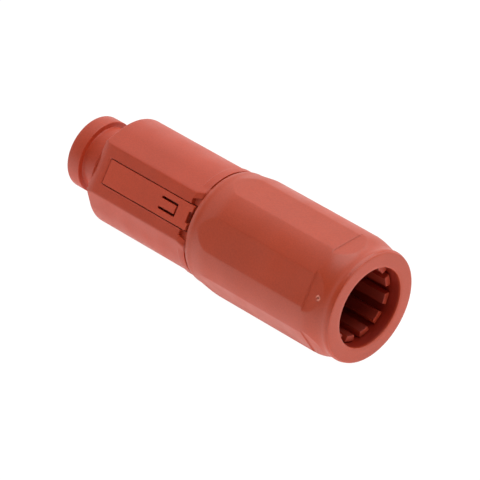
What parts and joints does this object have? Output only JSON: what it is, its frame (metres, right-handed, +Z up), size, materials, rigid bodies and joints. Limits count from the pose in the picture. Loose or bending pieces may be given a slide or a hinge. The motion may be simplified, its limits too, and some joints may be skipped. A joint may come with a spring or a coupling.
{
  "type": "coaxial cable connector",
  "caption": "In-line single-pole coaxial cable connector: moulded shell with collar and lock plate, spring contact inside, and a flatted gland nut with a fingered cable clamp.",
  "frame": {"origin": "bottom centre of the bounding box, on the surface the connector lies on", "axes": "+X along the connector's axis towards the cable mouth, +Z up, the lock plate's pad on the -Y side"},
  "size_m": [0.0916, 0.0302, 0.029],
  "materials": {
    "shell_red": "satin moulded red plastic with a fine spark texture",
    "nut_red": "satin moulded red plastic",
    "plate_red": "satin moulded brownish red plastic",
    "cage_red": "satin moulded red plastic",
    "white_plastic": "natural acetal, satin",
    "black_plastic": "satin black insulating plastic",
    "seal_rubber": "matt black sealing rubber",
    "ring_rubber": "matt red silicone rubber",
    "silver_plate": "silver plated copper alloy, fine turned marks",
    "nickel_plate": "nickel plated brass, fine turned marks",
    "copper_alloy": "bare copper alloy, drawn",
    "spring_steel": "spring steel, brushed"
  },
  "bodies": {
    "shell_body": {"rear_shell": "shell_red", "lock_plate": "plate_red", "clamp_cage": "cage_red", "pressure_washer": "spring_steel", "cable_seal": "seal_rubber", "nut_seal_ring": "ring_rubber", "body_seal_ring": "ring_rubber", "interface_gasket": "ring_rubber", "contact_socket": "silver_plate", "contact_band": "copper_alloy", "touch_guard": "black_plastic", "front_insulator": "black_plastic", "rear_insulator": "black_plastic", "outer_contact": "nickel_plate", "screen_body": "nickel_plate", "crimp_ferrule": "copper_alloy", "wave_washer": "spring_steel", "retaining_clip": "spring_steel"},
    "slip_ring_body": {"slip_ring": "white_plastic"},
    "nut_body": {"gland_nut": "nut_red"}
  },
  "joints": [
    {"name": "nut_travel", "type": "slide", "parent": "shell_body", "child": "slip_ring_body", "axis": [1, 0, 0], "range_m": [0, 0.014]},
    {"name": "nut_turn", "type": "hinge", "parent": "slip_ring_body", "child": "nut_body", "pos_m": [0.0228, 0, 0.0145], "axis": [1, 0, 0], "range_deg": [0, 2520]}
  ],
  "couplings": [
    {"joint": "nut_turn", "follows": "nut_travel", "rad_per_m": 3141.6}
  ]
}
